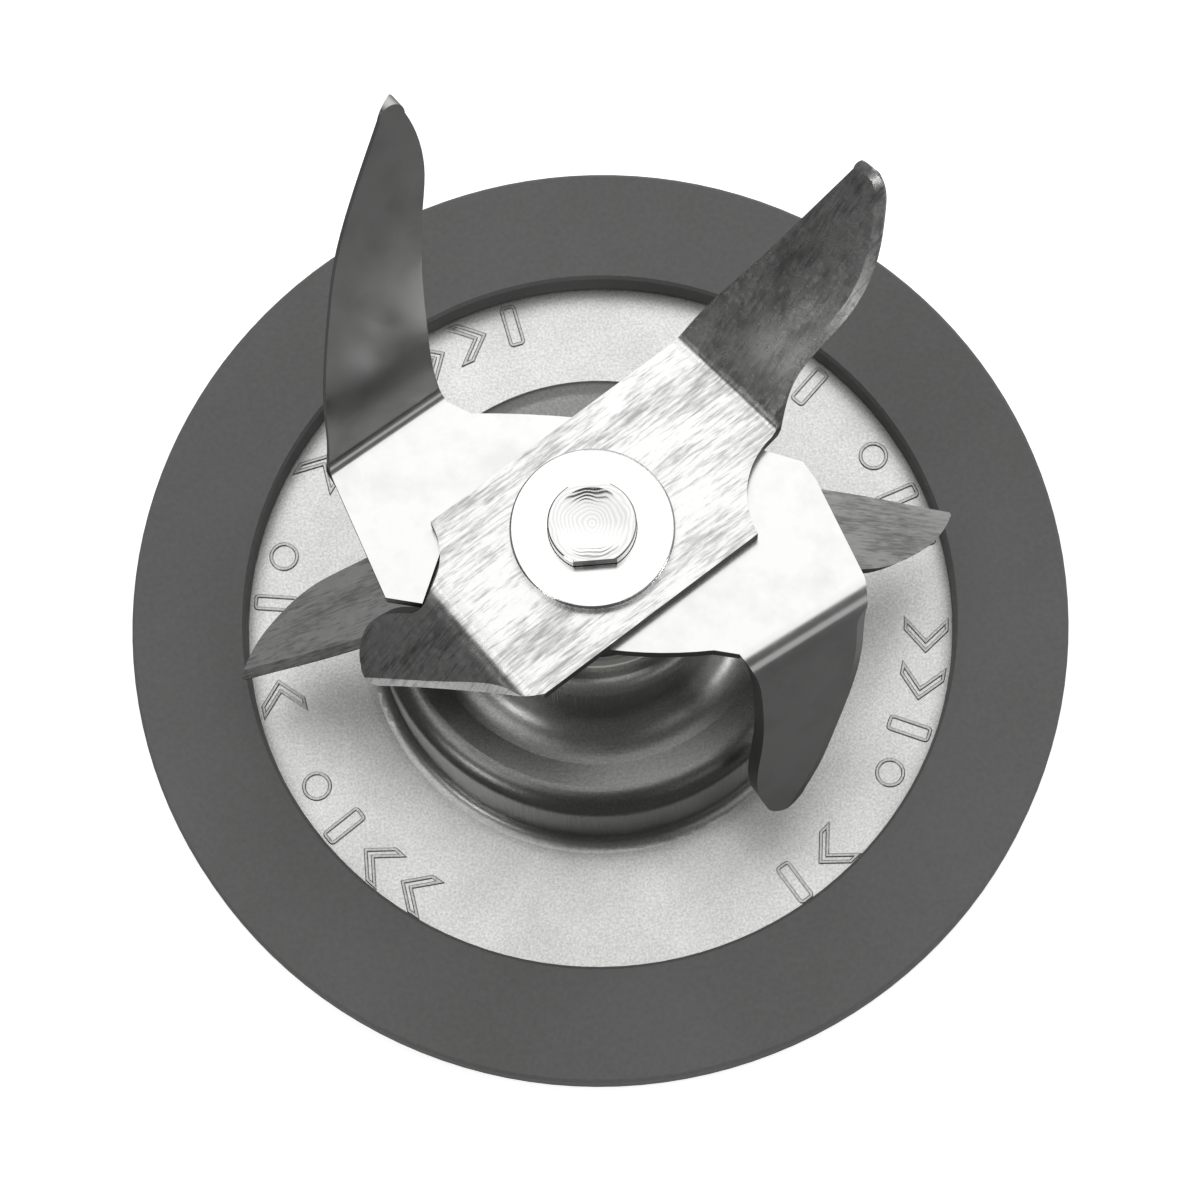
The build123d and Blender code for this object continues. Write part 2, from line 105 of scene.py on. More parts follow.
def soft_box(name, azimuth_deg, height_deg, distance, width, length, radiance):
    """A rectangular light that faces the object. Its azimuth turns from the photo's right, seen from
    above."""
    light = bpy.data.lights.new(name, "AREA")
    light.shape = "RECTANGLE"
    light.size = width
    light.size_y = length
    light.energy = radiance * math.pi * width * length
    lamp = bpy.data.objects.new(name, light)
    bpy.context.scene.collection.objects.link(lamp)
    side = math.radians(azimuth_deg)
    rise = math.radians(height_deg)
    place = Vector((math.cos(side) * math.cos(rise), math.sin(side) * math.cos(rise), math.sin(rise)))
    lamp.location = place * distance
    lamp.rotation_euler = place.to_track_quat("Z", "Y").to_euler()
    lamp.visible_camera = False


soft_box("overhead box", 90, 74, distance=0.75, width=0.95, length=0.65, radiance=1.22)
soft_box("left box", 211, 56, distance=0.75, width=0.28, length=0.3, radiance=1.7)
soft_box("far left box", 169, 11, distance=0.75, width=0.3, length=0.16, radiance=0.35)
soft_box("right box", 310, 37, distance=0.75, width=0.34, length=0.26, radiance=0.42)
soft_box("left strip", 223, 19, distance=0.7, width=0.14, length=0.08, radiance=11.0)
soft_box("right strip", 340, 22, distance=0.7, width=0.14, length=0.09, radiance=11.0)


# The room is dim, with lighter walls on the right and behind. A white table stands in front on the left,
# low down, and the ground edge of a standing wing mirrors it.
towards_right = (0.8, 0.6, 0)
towards_back = (0, 0.94, 0.34)
towards_table = (-0.53, -0.62, -0.578)
room = bpy.data.worlds.new("studio walls")
bpy.context.scene.world = room
room.use_nodes = True
tree = room.node_tree
tree.nodes.clear()
direction = add_node(tree, "ShaderNodeTexCoord", {})
to_right = add_node(tree, "ShaderNodeVectorMath", {
    0: direction.outputs["Generated"], 1: towards_right}, operation="DOT_PRODUCT")
right_wall = add_node(tree, "ShaderNodeMapRange", {
    "Value": to_right.outputs["Value"], "From Min": -0.1, "From Max": 1.0, "To Min": 0.09, "To Max": 0.38})
to_table = add_node(tree, "ShaderNodeVectorMath", {
    0: direction.outputs["Generated"], 1: towards_table}, operation="DOT_PRODUCT")
white_table = add_node(tree, "ShaderNodeMapRange", {
    "Value": to_table.outputs["Value"], "From Min": 0.965, "From Max": 0.99, "To Min": 0.0, "To Max": 1.3})
to_back = add_node(tree, "ShaderNodeVectorMath", {
    0: direction.outputs["Generated"], 1: towards_back}, operation="DOT_PRODUCT")
back_wall = add_node(tree, "ShaderNodeMapRange", {
    "Value": to_back.outputs["Value"], "From Min": 0.55, "From Max": 1.0, "To Min": 0.0, "To Max": 0.6})
walls = add_node(tree, "ShaderNodeMath", {
    0: right_wall.outputs["Result"], 1: back_wall.outputs["Result"]})
surroundings = add_node(tree, "ShaderNodeMath", {
    0: walls.outputs["Value"], 1: white_table.outputs["Result"]})
background = add_node(tree, "ShaderNodeBackground", {
    "Color": (1, 1, 1, 1), "Strength": surroundings.outputs["Value"]})
add_node(tree, "ShaderNodeOutputWorld", {"Surface": background.outputs["Background"]})


# The base is drawn from one stainless sheet. The flange keeps the sheet's fine satin grain. Inside it the
# colour is darkened by radius with painted shade, for the blades' shadow over the hub: a little on the tower,
# most on the dome. The upright walls show the marks of the die as fine lines.
sheet_grain_mm = 0.1923  # the real grain is finer, and is drawn as coarse as it needs to show
sheet_cloud_mm = 5.88
draw_mark_mm = 0.295
draw_mark_length_mm = 7.69
dome_radius_mm = 17.7
tower_side = 0.0105
cove_end = 0.0135
shoulder_start = 0.017
flange_start = 0.0196
# Painted shade: how much of the colour stays on the tower, the dome and the flange.
tower_painted_shade = 0.9
dome_painted_shade = 0.37
flange_tone = 1.0
flange_roughness = 0.37


def new_material(name, metallic=0):
    """A material, its tree and its shader."""
    material = bpy.data.materials.new(name)
    material.use_nodes = True
    tree = material.node_tree
    shader = tree.nodes["Principled BSDF"]
    shader.inputs["Metallic"].default_value = metallic
    return material, tree, shader


def finish_node(name, material):
    """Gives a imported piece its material."""
    nodes[name].data.materials.clear()
    nodes[name].data.materials.append(material)


satin_stainless, tree, shader = new_material("satin pressed stainless", metallic=1)
place = add_node(tree, "ShaderNodeTexCoord", {})
speckle = add_node(tree, "ShaderNodeTexNoise", {
    "Vector": place.outputs["Object"], "Scale": 1000 / sheet_grain_mm, "Detail": 2, "Roughness": 0.6})
clouds = add_node(tree, "ShaderNodeTexNoise", {
    "Vector": place.outputs["Object"], "Scale": 1000 / sheet_cloud_mm, "Detail": 3, "Roughness": 0.55})
tone = add_node(tree, "ShaderNodeValToRGB", {"Fac": speckle.outputs["Fac"]},
                stops=((0.32, "#C0C0BE"), (0.68, "#DEDEDC")))
shade = add_node(tree, "ShaderNodeMapRange", {
    "Value": clouds.outputs["Fac"], "From Min": 0.3, "From Max": 0.7, "To Min": 0.9, "To Max": 1.06})
from_spindle = add_node(tree, "ShaderNodeVectorMath", {
    0: place.outputs["Object"], 1: (1, 1, 0)}, operation="MULTIPLY")
radius = add_node(tree, "ShaderNodeVectorMath", {0: from_spindle.outputs["Vector"]}, operation="LENGTH")
# Painted shade: the colour darkens from the tower out over the dome, and comes back from the shoulder to the
# flange.
hub_painted_shade = add_node(tree, "ShaderNodeMapRange", {
    "Value": radius.outputs["Value"], "From Min": tower_side, "From Max": cove_end,
    "To Min": tower_painted_shade, "To Max": dome_painted_shade})
painted_shade_by_radius = add_node(tree, "ShaderNodeMapRange", {
    "Value": radius.outputs["Value"], "From Min": shoulder_start, "From Max": flange_start,
    "To Min": hub_painted_shade.outputs["Result"], "To Max": flange_tone})
toned = add_node(tree, "ShaderNodeMath", {
    0: shade.outputs["Result"], 1: painted_shade_by_radius.outputs["Result"]}, operation="MULTIPLY")
shaded = add_node(tree, "ShaderNodeVectorMath", {
    0: tone.outputs["Color"], "Scale": toned.outputs["Value"]}, operation="SCALE")
tree.links.new(shaded.outputs["Vector"], shader.inputs["Base Color"])
satin = add_node(tree, "ShaderNodeMapRange", {
    "Value": clouds.outputs["Fac"], "From Min": 0.3, "From Max": 0.7, "To Min": 0.31, "To Max": 0.37})
rough = add_node(tree, "ShaderNodeMapRange", {
    "Value": painted_shade_by_radius.outputs["Result"], "From Min": dome_painted_shade, "From Max": flange_tone,
    "To Min": satin.outputs["Result"], "To Max": flange_roughness})
tree.links.new(rough.outputs["Result"], shader.inputs["Roughness"])
spot = add_node(tree, "ShaderNodeSeparateXYZ", {"Vector": place.outputs["Object"]})
around = add_node(tree, "ShaderNodeMath", {
    0: spot.outputs["Y"], 1: spot.outputs["X"]}, operation="ARCTAN2")
wall_place = add_node(tree, "ShaderNodeCombineXYZ", {"X": around.outputs["Value"], "Y": spot.outputs["Z"]})
wall_scale = add_node(tree, "ShaderNodeMapping", {
    "Vector": wall_place.outputs["Vector"],
    "Scale": (dome_radius_mm / draw_mark_mm, 1000 / draw_mark_length_mm, 1)})
draw_marks = add_node(tree, "ShaderNodeTexNoise", {
    "Vector": wall_scale.outputs["Vector"], "Scale": 1, "Detail": 3, "Roughness": 0.6})
surface = add_node(tree, "ShaderNodeNewGeometry", {})
facing = add_node(tree, "ShaderNodeSeparateXYZ", {"Vector": surface.outputs["Normal"]})
upwards = add_node(tree, "ShaderNodeMath", {0: facing.outputs["Z"]}, operation="ABSOLUTE")
on_wall = add_node(tree, "ShaderNodeMapRange", {
    "Value": upwards.outputs["Value"], "From Min": 0.0, "From Max": 0.6, "To Min": 1.0, "To Max": 0.0})
wall_marks = add_node(tree, "ShaderNodeMath", {
    0: draw_marks.outputs["Fac"], 1: on_wall.outputs["Result"]}, operation="MULTIPLY")
grain_bump = add_node(tree, "ShaderNodeBump", {
    "Height": speckle.outputs["Fac"], "Strength": 0.45, "Distance": 0.00002})
wall_bump = add_node(tree, "ShaderNodeBump", {
    "Height": wall_marks.outputs["Value"], "Strength": 0.7, "Distance": 0.00015,
    "Normal": grain_bump.outputs["Normal"]})
tree.links.new(wall_bump.outputs["Normal"], shader.inputs["Normal"])
finish_node("base_flange", satin_stainless)


# The marks pressed into the flange: plain outlined arrows, bars and rings, raised as thin ridges round
# the sheet. They stand in three groups and only say which side is up. They are coloured darker than the
# flange.
flange_face = 0.0008
mark_radius = 0.0263
ridge_width = 0.0003
ridge_height = 0.00014
ridge_slope = 0.00011
bar_size = (0.00075, 0.0036)
arrow_size = (0.0031, 0.0036)
arrow_stroke = 0.0012
dot_radius = 0.0012


def ridge_round(outline):
    """Turns a flat face into a low ridge along its outline, with sloping flanks."""
    bpy.ops.object.mode_set(mode="EDIT")
    bpy.ops.mesh.select_all(action="SELECT")
    bpy.ops.mesh.inset(thickness=ridge_width)
    bpy.ops.mesh.delete(type="FACE")
    bpy.ops.mesh.select_all(action="SELECT")
    bpy.ops.mesh.extrude_region_move(TRANSFORM_OT_translate={"value": (0, 0, ridge_height)})
    bpy.ops.mesh.select_all(action="SELECT")
    bpy.ops.mesh.normals_make_consistent(inside=False)
    bpy.ops.object.mode_set(mode="OBJECT")
    slope = outline.modifiers.new("slope", "BEVEL")
    slope.width = ridge_slope
    slope.segments = 2
    slope.limit_method = "ANGLE"
    slope.angle_limit = math.radians(60)
    bpy.ops.object.modifier_apply(modifier="slope")


def start_mark(name):
    """Names the primitive that was just added."""
    mark = bpy.context.object
    mark.name = name
    return mark


def flat_arrow():
    """A flat chevron that points along +X."""
    bpy.ops.mesh.primitive_grid_add(x_subdivisions=1, y_subdivisions=2, size=1, location=(0, 0, 0))
    arrow = start_mark("arrow_mark")
    for corner in arrow.data.vertices:
        lead = (arrow_size[0] - arrow_stroke) * (0.5 - 2 * abs(corner.co.y))
        corner.co.x = corner.co.x * arrow_stroke + lead
        corner.co.y = corner.co.y * arrow_size[1]
    bpy.ops.object.mode_set(mode="EDIT")
    bpy.ops.mesh.select_all(action="SELECT")
    bpy.ops.mesh.dissolve_limited(angle_limit=math.radians(1))
    bpy.ops.object.mode_set(mode="OBJECT")
    return arrow


def flat_bar():
    """A flat bar across the band, with round ends."""
    bpy.ops.mesh.primitive_plane_add(size=1, location=(0, 0, 0))
    bar = start_mark("bar_mark")
    bar.scale = (bar_size[0] + 2 * ridge_width, bar_size[1], 1)
    bpy.ops.object.transform_apply(location=False, rotation=False, scale=True)
    bpy.ops.object.mode_set(mode="EDIT")
    bpy.ops.mesh.select_all(action="SELECT")
    bpy.ops.mesh.bevel(offset=bar_size[0] / 2, segments=4, affect="VERTICES")
    bpy.ops.object.mode_set(mode="OBJECT")
    return bar


def flat_dot():
    """A flat disc, which the ridge turns into a ring."""
    bpy.ops.mesh.primitive_circle_add(vertices=28, radius=dot_radius, fill_type="NGON", location=(0, 0, 0))
    return start_mark("dot_mark")


bpy.ops.object.select_all(action="DESELECT")
patterns = {}
for sign, make_flat in (("a", flat_arrow), ("b", flat_bar), ("o", flat_dot)):
    mark = make_flat()
    ridge_round(mark)
    patterns[sign] = mark
    bpy.ops.object.select_all(action="DESELECT")

# Each group starts at an angle and runs clockwise: a is an arrow, b a bar, o a ring, and - a space.
mark_groups = (
    (232, 8.6, "aabo-aabo-ab"),
    (62, 8.6, "aab-obb-aabo-ab"),
    (118, 8.2, "aab"),
)
placed = []
for start_deg, step_deg, row in mark_groups:
    for number, sign in enumerate(row):
        if sign == "-":
            continue
        mark = patterns[sign].copy()
        mark.data = patterns[sign].data.copy()
        bpy.context.scene.collection.objects.link(mark)
        angle = math.radians(start_deg - step_deg * number)
        spot = Matrix.Translation((mark_radius * math.cos(angle), mark_radius * math.sin(angle), flange_face))
        mark.data.transform(spot @ Matrix.Rotation(angle - math.pi / 2, 4, "Z"))
        placed.append(mark)
for mark in patterns.values():
    bpy.data.objects.remove(mark)
bpy.ops.object.select_all(action="DESELECT")
for mark in placed:
    mark.select_set(True)
bpy.context.view_layer.objects.active = placed[0]
bpy.ops.object.join()
flange_marks = bpy.context.object
flange_marks.name = "flange_marks"
darker_mark_stainless, tree, shader = new_material("darker mark stainless", metallic=1)
shader.inputs["Roughness"].default_value = 0.32
place = add_node(tree, "ShaderNodeTexCoord", {})
grain = add_node(tree, "ShaderNodeTexNoise", {
    "Vector": place.outputs["Object"], "Scale": 1000 / sheet_grain_mm, "Detail": 2, "Roughness": 0.6})
tone = add_node(tree, "ShaderNodeValToRGB", {"Fac": grain.outputs["Fac"]},
                stops=((0.3, "#9A9A99"), (0.7, "#BEBEBD")))
tree.links.new(tone.outputs["Color"], shader.inputs["Base Color"])
flange_marks.data.materials.append(darker_mark_stainless)
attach(flange_marks, "base")


# The sealing ring is a flat ring cut from grey rubber, and lies loose on the flange. Its faces are matte,
# with a very fine grain and a few paler smears from handling.
rubber_grain_mm = 0.4
rubber_smear_mm = 18.2
ring_rubber, tree, shader = new_material("grey sealing rubber")
shader.inputs["Roughness"].default_value = 0.6
place = add_node(tree, "ShaderNodeTexCoord", {})
grain = add_node(tree, "ShaderNodeTexNoise", {
    "Vector": place.outputs["Object"], "Scale": 1000 / rubber_grain_mm, "Detail": 2, "Roughness": 0.6})
smears = add_node(tree, "ShaderNodeTexNoise", {
    "Vector": place.outputs["Object"], "Scale": 1000 / rubber_smear_mm, "Detail": 3, "Roughness": 0.55})
mixed = add_node(tree, "ShaderNodeMix", {
    "Factor": 0.55, "A": grain.outputs["Fac"], "B": smears.outputs["Fac"]}, data_type="FLOAT")
tone = add_node(tree, "ShaderNodeValToRGB", {"Fac": mixed.outputs["Result"]},
                stops=((0.32, "#5F5F5E"), (0.68, "#6D6D6D")))
tree.links.new(tone.outputs["Color"], shader.inputs["Base Color"])
bump = add_node(tree, "ShaderNodeBump", {
    "Height": grain.outputs["Fac"], "Strength": 0.25, "Distance": 0.00003})
tree.links.new(bump.outputs["Normal"], shader.inputs["Normal"])
finish_node("sealing_ring", ring_rubber)


# The sleeve, the backing plate, the seal's cover and the hard thrust washer are turned or pressed from
# mild steel and zinc plated, which leaves them bright with a faint cloudiness.
zinc_cloud_mm = 2.5
zinc_steel, tree, shader = new_material("zinc plated steel", metallic=1)
place = add_node(tree, "ShaderNodeTexCoord", {})
clouds = add_node(tree, "ShaderNodeTexNoise", {
    "Vector": place.outputs["Object"], "Scale": 1000 / zinc_cloud_mm, "Detail": 3, "Roughness": 0.6})
tone = add_node(tree, "ShaderNodeValToRGB", {"Fac": clouds.outputs["Fac"]},
                stops=((0.3, "#A9ABAD"), (0.7, "#C6C8C9")))
tree.links.new(tone.outputs["Color"], shader.inputs["Base Color"])
rough = add_node(tree, "ShaderNodeMapRange", {
    "Value": clouds.outputs["Fac"], "From Min": 0.3, "From Max": 0.7, "To Min": 0.3, "To Max": 0.42})
tree.links.new(rough.outputs["Result"], shader.inputs["Roughness"])
for name in ("bearing_sleeve", "backing_plate", "seal_cover", "steel_thrust_washer"):
    finish_node(name, zinc_steel)


# The circlip snaps into the sleeve's groove and holds the backing plate. It is stamped from spring steel
# and phosphated, which gives it a dark, slightly oily skin.
phosphate_patch_mm = 0.556
phosphated_steel, tree, shader = new_material("phosphated spring steel", metallic=1)
shader.inputs["Roughness"].default_value = 0.45
place = add_node(tree, "ShaderNodeTexCoord", {})
skin = add_node(tree, "ShaderNodeTexNoise", {
    "Vector": place.outputs["Object"], "Scale": 1000 / phosphate_patch_mm, "Detail": 3, "Roughness": 0.6})
tone = add_node(tree, "ShaderNodeValToRGB", {"Fac": skin.outputs["Fac"]},
                stops=((0.3, "#4A4A4C"), (0.7, "#626264")))
tree.links.new(tone.outputs["Color"], shader.inputs["Base Color"])
finish_node("sleeve_circlip", phosphated_steel)


# The two bushes sit in the sleeve and carry the spindle. They are pressed from bronze powder and soaked
# in oil, and their pores show as fine dark specks.
bronze_pore_mm = 0.167  # real pores are finer, and wouldn't show
sintered_bronze, tree, shader = new_material("sintered bronze", metallic=1)
shader.inputs["Roughness"].default_value = 0.48
place = add_node(tree, "ShaderNodeTexCoord", {})
pores = add_node(tree, "ShaderNodeTexNoise", {
    "Vector": place.outputs["Object"], "Scale": 1000 / bronze_pore_mm, "Detail": 3, "Roughness": 0.7})
tone = add_node(tree, "ShaderNodeValToRGB", {"Fac": pores.outputs["Fac"]},
                stops=((0.38, "#6E4E2E"), (0.55, "#B88A56")))
tree.links.new(tone.outputs["Color"], shader.inputs["Base Color"])
bump = add_node(tree, "ShaderNodeBump", {
    "Height": pores.outputs["Fac"], "Strength": 0.4, "Distance": 0.00003})
tree.links.new(bump.outputs["Normal"], shader.inputs["Normal"])
for name in ("upper_bush", "lower_bush"):
    finish_node(name, sintered_bronze)


# The felt ring between the bushes is pressed wool that feeds them their oil.
# It is pale, fibrous and stained amber.
felt_tuft_mm = 0.286
wool_felt, tree, shader = new_material("oiled wool felt")
shader.inputs["Roughness"].default_value = 0.9
place = add_node(tree, "ShaderNodeTexCoord", {})
fibres = add_node(tree, "ShaderNodeTexNoise", {
    "Vector": place.outputs["Object"], "Scale": 1000 / felt_tuft_mm, "Detail": 4, "Roughness": 0.7,
    "Distortion": 1.5})
tone = add_node(tree, "ShaderNodeValToRGB", {"Fac": fibres.outputs["Fac"]},
                stops=((0.3, "#9C8A66"), (0.7, "#CFC2A0")))
tree.links.new(tone.outputs["Color"], shader.inputs["Base Color"])
bump = add_node(tree, "ShaderNodeBump", {
    "Height": fibres.outputs["Fac"], "Strength": 0.8, "Distance": 0.0001})
tree.links.new(bump.outputs["Normal"], shader.inputs["Normal"])
finish_node("oil_felt", wool_felt)


# The lip seal sits in the sleeve's upper end, round the spindle. It is moulded from black nitrile rubber,
# whose skin is satin.
moulded_skin_mm = 0.667
seal_rubber, tree, shader = new_material("moulded nitrile rubber")
shader.inputs["Roughness"].default_value = 0.42
place = add_node(tree, "ShaderNodeTexCoord", {})
skin = add_node(tree, "ShaderNodeTexNoise", {
    "Vector": place.outputs["Object"], "Scale": 1000 / moulded_skin_mm, "Detail": 2, "Roughness": 0.5})
tone = add_node(tree, "ShaderNodeValToRGB", {"Fac": skin.outputs["Fac"]},
                stops=((0, "#1C1C1C"), (1, "#2A2A2A")))
tree.links.new(tone.outputs["Color"], shader.inputs["Base Color"])
finish_node("shaft_seal", seal_rubber)


# The washer that the spindle's head runs on is cut from hard fibre board.
# It is red-brown and faintly layered.
fibre_layer_mm = 0.833
hard_fibre, tree, shader = new_material("hard fibre board")
shader.inputs["Roughness"].default_value = 0.55
place = add_node(tree, "ShaderNodeTexCoord", {})
layers = add_node(tree, "ShaderNodeTexNoise", {
    "Vector": place.outputs["Object"], "Scale": 1000 / fibre_layer_mm, "Detail": 3, "Roughness": 0.6})
tone = add_node(tree, "ShaderNodeValToRGB", {"Fac": layers.outputs["Fac"]},
                stops=((0.3, "#6E3122"), (0.7, "#8A4630")))
tree.links.new(tone.outputs["Color"], shader.inputs["Base Color"])
finish_node("fibre_thrust_washer", hard_fibre)


# The washer under the collar lies on the tower's lip and is punched from natural nylon.
# It is milky, with a dull sheen.
nylon_haze_mm = 2
natural_nylon, tree, shader = new_material("natural nylon")
shader.inputs["Roughness"].default_value = 0.4
place = add_node(tree, "ShaderNodeTexCoord", {})
haze = add_node(tree, "ShaderNodeTexNoise", {
    "Vector": place.outputs["Object"], "Scale": 1000 / nylon_haze_mm, "Detail": 2, "Roughness": 0.5})
tone = add_node(tree, "ShaderNodeValToRGB", {"Fac": haze.outputs["Fac"]},
                stops=((0, "#D9D8D0"), (1, "#E8E7E0")))
tree.links.new(tone.outputs["Color"], shader.inputs["Base Color"])
finish_node("collar_washer", natural_nylon)


# The spindle and the collar are turned from stainless bar. Round marks of the lathe tool stay on the
# dished end, broken up by the cloth that wiped it. A wave texture makes one ring in a tenth of pi.
lathe_feed_mm = 0.314  # coarser than a real finishing cut, so that its rings show
wiped_haze_mm = 1.11
turned_stainless, tree, shader = new_material("turned stainless", metallic=1)
place = add_node(tree, "ShaderNodeTexCoord", {})
rings = add_node(tree, "ShaderNodeTexWave", {
    "Vector": place.outputs["Object"], "Scale": 100 * math.pi / lathe_feed_mm, "Distortion": 18,
    "Detail": 2, "Detail Scale": 0.3}, wave_type="RINGS", rings_direction="Z")
tone = add_node(tree, "ShaderNodeValToRGB", {"Fac": rings.outputs["Fac"]},
                stops=((0.1, "#CDCDCC"), (0.9, "#DCDCDB")))
tree.links.new(tone.outputs["Color"], shader.inputs["Base Color"])
haze = add_node(tree, "ShaderNodeTexNoise", {
    "Vector": place.outputs["Object"], "Scale": 1000 / wiped_haze_mm, "Detail": 3, "Roughness": 0.6})
rough = add_node(tree, "ShaderNodeMapRange", {
    "Value": haze.outputs["Fac"], "From Min": 0.3, "From Max": 0.7, "To Min": 0.09, "To Max": 0.17})
tree.links.new(rough.outputs["Result"], shader.inputs["Roughness"])
bump = add_node(tree, "ShaderNodeBump", {
    "Height": rings.outputs["Fac"], "Strength": 0.12, "Distance": 0.00003})
tree.links.new(bump.outputs["Normal"], shader.inputs["Normal"])
for name in ("spindle", "spacer_collar"):
    finish_node(name, turned_stainless)


# The upper and lower blades are stamped from stainless strip and linished along their length, so they
# have short scratches that lie in patches. The sides that the press sheared are dull, and their colour is
# darkened further with painted shade. The clamp washer presses the three blades on each other.
blade_stack_top = 0.0285
blade_sheet = 0.0014
scratch_mm = (2.083, 0.2174)  # along and across; real scratches are finer, and wouldn't show
scratch_patch_mm = (9.09, 3.03)
mottle_mm = 0.769
# The sheared sides' colour: their dull finish, darkened further with painted shade.
sheared_side_shade_hex = "#6C6C6B"
sheared_roughness = 0.3
side_sine = 0.25


def drooping_to(azimuth_deg, droop_deg):
    """The direction that a drooping wing's top faces, from where the wing points and how far it droops."""
    azimuth = math.radians(azimuth_deg)
    droop = math.radians(droop_deg)
    return (math.sin(droop) * math.cos(azimuth), math.sin(droop) * math.sin(azimuth), math.cos(droop))


def sheared_side_shade_mask(tree, place, plate_top, wing_facing):
    """Is 1 on the sheared sides of a blade and 0 elsewhere. There the colour is partly the sides' dull finish
    and partly painted shade. On the flat plate, whose top is at a height, they are upright. On a drooping
    wing they stand square to the direction that it faces. The standing wings have none, as they are ground
    all round."""
    surface = add_node(tree, "ShaderNodeNewGeometry", {})
    facing = add_node(tree, "ShaderNodeSeparateXYZ", {"Vector": surface.outputs["Normal"]})
    upwards = add_node(tree, "ShaderNodeMath", {0: facing.outputs["Z"]}, operation="ABSOLUTE")
    upright = add_node(tree, "ShaderNodeMath", {
        0: upwards.outputs["Value"], 1: side_sine}, operation="LESS_THAN")
    spot = add_node(tree, "ShaderNodeSeparateXYZ", {"Vector": place.outputs["Object"]})
    in_sheet = add_node(tree, "ShaderNodeMath", {
        0: spot.outputs["Z"], 1: plate_top - blade_sheet / 2, 2: blade_sheet / 2 + 0.0001},
        operation="COMPARE")
    on_plate = add_node(tree, "ShaderNodeMath", {
        0: upright.outputs["Value"], 1: in_sheet.outputs["Value"]}, operation="MULTIPLY")
    across = add_node(tree, "ShaderNodeVectorMath", {
        0: surface.outputs["Normal"], 1: wing_facing}, operation="DOT_PRODUCT")
    aside = add_node(tree, "ShaderNodeMath", {0: across.outputs["Value"]}, operation="ABSOLUTE")
    on_wing = add_node(tree, "ShaderNodeMath", {
        0: aside.outputs["Value"], 1: side_sine}, operation="LESS_THAN")
    below = add_node(tree, "ShaderNodeMath", {0: spot.outputs["Z"], 1: plate_top}, operation="LESS_THAN")
    on_drooping = add_node(tree, "ShaderNodeMath", {
        0: on_wing.outputs["Value"], 1: below.outputs["Value"]}, operation="MULTIPLY")
    mask = add_node(tree, "ShaderNodeMath", {
        0: on_plate.outputs["Value"], 1: on_drooping.outputs["Value"]}, operation="MAXIMUM")
    return mask.outputs["Value"]


def linished_steel(name, turn_deg, plate_top, wing_facing, light, dark, scratch, roughness):
    """Stainless with its grinding lines along a blade that is turned about the spindle."""
    material, tree, shader = new_material(name, metallic=1)
    place = add_node(tree, "ShaderNodeTexCoord", {})
    along = add_node(tree, "ShaderNodeVectorRotate", {
        "Vector": place.outputs["Object"], "Angle": math.radians(-turn_deg)}, rotation_type="Z_AXIS")
    fine_place = add_node(tree, "ShaderNodeMapping", {
        "Vector": along.outputs["Vector"],
        "Scale": (1000 / scratch_mm[0], 1000 / scratch_mm[1], 1000 / scratch_mm[0])})
    fine = add_node(tree, "ShaderNodeTexNoise", {
        "Vector": fine_place.outputs["Vector"], "Scale": 1, "Detail": 3, "Roughness": 0.7})
    patch_place = add_node(tree, "ShaderNodeMapping", {
        "Vector": along.outputs["Vector"],
        "Scale": (1000 / scratch_patch_mm[0], 1000 / scratch_patch_mm[1], 1000 / scratch_patch_mm[0])})
    patches = add_node(tree, "ShaderNodeTexNoise", {
        "Vector": patch_place.outputs["Vector"], "Scale": 1, "Detail": 4, "Roughness": 0.65})
    mottle = add_node(tree, "ShaderNodeTexNoise", {
        "Vector": place.outputs["Object"], "Scale": 1000 / mottle_mm, "Detail": 3, "Roughness": 0.65})
    streaks = add_node(tree, "ShaderNodeMath", {
        0: fine.outputs["Fac"], 1: patches.outputs["Fac"]}, operation="MULTIPLY")
    tone = add_node(tree, "ShaderNodeValToRGB", {"Fac": streaks.outputs["Value"]},
                    stops=((0.14, dark), (0.27, light)))
    # Painted shade: the sheared sides take a colour darker than their dull finish alone.
    sheared_shade = sheared_side_shade_mask(tree, place, plate_top, wing_facing)
    skin = add_node(tree, "ShaderNodeMix", {
        "Factor": sheared_shade, "A": tone.outputs["Color"], "B": linear(sheared_side_shade_hex)}, data_type="RGBA")
    tree.links.new(skin.outputs["Result"], shader.inputs["Base Color"])
    worn = add_node(tree, "ShaderNodeMapRange", {
        "Value": mottle.outputs["Fac"], "From Min": 0.3, "From Max": 0.7,
        "To Min": roughness, "To Max": roughness + 0.12})
    rough = add_node(tree, "ShaderNodeMath", {
        0: sheared_shade, 1: sheared_roughness, 2: worn.outputs["Result"]}, operation="MULTIPLY_ADD")
    tree.links.new(rough.outputs["Value"], shader.inputs["Roughness"])
    scratch_bump = add_node(tree, "ShaderNodeBump", {
        "Height": streaks.outputs["Value"], "Strength": scratch, "Distance": 0.00003})
    mottle_bump = add_node(tree, "ShaderNodeBump", {
        "Height": mottle.outputs["Fac"], "Strength": 0.05, "Distance": 0.00003,
        "Normal": scratch_bump.outputs["Normal"]})
    tree.links.new(mottle_bump.outputs["Normal"], shader.inputs["Normal"])
    return material


# The lower blade's two wings droop so little that their sheared sides are nearly upright, as the plate's.
finish_node("lower_blade", linished_steel(
    "linished stainless, lower blade", turn_deg=4.0, plate_top=blade_stack_top - 2 * blade_sheet,
    wing_facing=(0, 0, 1), light="#E4E4E3", dark="#A8A8A7", scratch=0.5, roughness=0.28))
finish_node("upper_blade", linished_steel(
    "linished stainless, upper blade", turn_deg=33.2, plate_top=blade_stack_top,
    wing_facing=drooping_to(216.6, 52), light="#DDDDDC", dark="#9C9C9B", scratch=0.2, roughness=0.2))
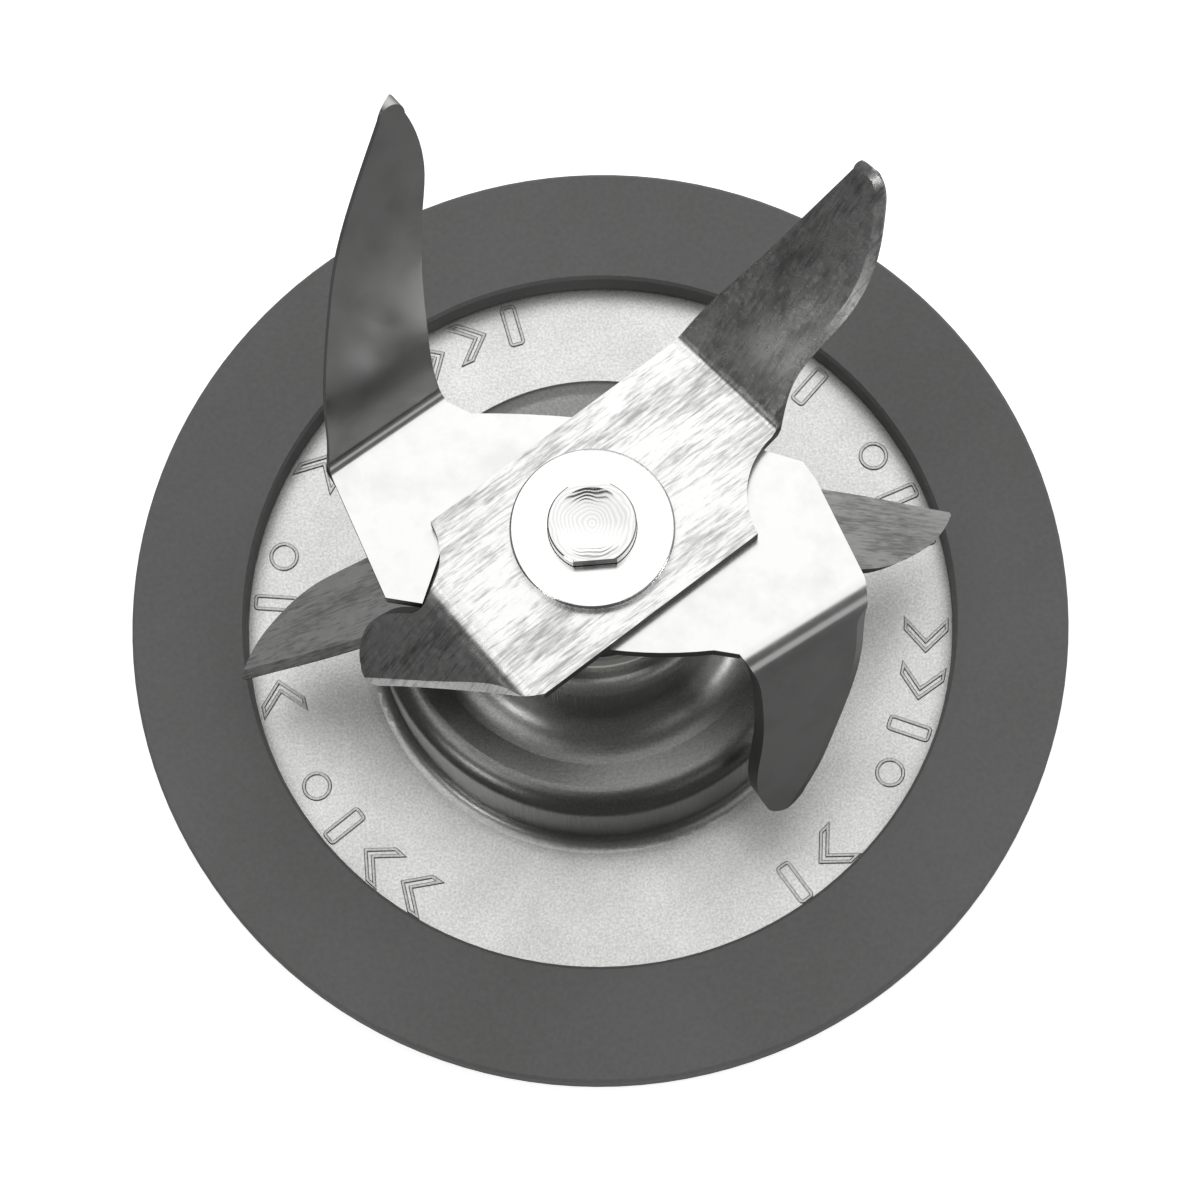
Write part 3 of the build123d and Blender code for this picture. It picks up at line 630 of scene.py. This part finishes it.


# The middle blade is stamped from the same strip and polished, with only faint swirls left. Its sheared
# sides are as dull as those of the other blades, and carry the same painted shade.
swirl_mm = 3.85
polished_stainless, tree, shader = new_material("polished stainless", metallic=1)
place = add_node(tree, "ShaderNodeTexCoord", {})
swirl = add_node(tree, "ShaderNodeTexNoise", {
    "Vector": place.outputs["Object"], "Scale": 1000 / swirl_mm, "Detail": 4, "Roughness": 0.6})
tone = add_node(tree, "ShaderNodeValToRGB", {"Fac": swirl.outputs["Fac"]},
                stops=((0.3, "#CFCFCE"), (0.55, "#DADAD9")))
# Painted shade: as on the other blades, the sheared sides are darkened beyond their dull finish.
sheared_shade = sheared_side_shade_mask(tree, place, blade_stack_top - blade_sheet, drooping_to(298, 66))
skin = add_node(tree, "ShaderNodeMix", {
    "Factor": sheared_shade, "A": tone.outputs["Color"], "B": linear(sheared_side_shade_hex)}, data_type="RGBA")
tree.links.new(skin.outputs["Result"], shader.inputs["Base Color"])
worn = add_node(tree, "ShaderNodeMapRange", {
    "Value": swirl.outputs["Fac"], "From Min": 0.3, "From Max": 0.7, "To Min": 0.16, "To Max": 0.24})
rough = add_node(tree, "ShaderNodeMath", {
    0: sheared_shade, 1: sheared_roughness, 2: worn.outputs["Result"]}, operation="MULTIPLY_ADD")
tree.links.new(rough.outputs["Value"], shader.inputs["Roughness"])
bump = add_node(tree, "ShaderNodeBump", {
    "Height": swirl.outputs["Fac"], "Strength": 0.06, "Distance": 0.00003})
tree.links.new(bump.outputs["Normal"], shader.inputs["Normal"])
finish_node("middle_blade", polished_stainless)


# The washer on top clamps the three blades. It is turned from stainless bar, faced and polished, and
# shows only a faint haze of fine scratches.
faced_haze_mm = 1.43
faced_stainless, tree, shader = new_material("faced stainless", metallic=1)
place = add_node(tree, "ShaderNodeTexCoord", {})
haze = add_node(tree, "ShaderNodeTexNoise", {
    "Vector": place.outputs["Object"], "Scale": 1000 / faced_haze_mm, "Detail": 4, "Roughness": 0.65})
tone = add_node(tree, "ShaderNodeValToRGB", {"Fac": haze.outputs["Fac"]},
                stops=((0.3, "#DFDFDE"), (0.6, "#EFEFEE")))
tree.links.new(tone.outputs["Color"], shader.inputs["Base Color"])
rough = add_node(tree, "ShaderNodeMapRange", {
    "Value": haze.outputs["Fac"], "From Min": 0.3, "From Max": 0.7, "To Min": 0.16, "To Max": 0.24})
tree.links.new(rough.outputs["Result"], shader.inputs["Roughness"])
finish_node("clamp_washer", faced_stainless)
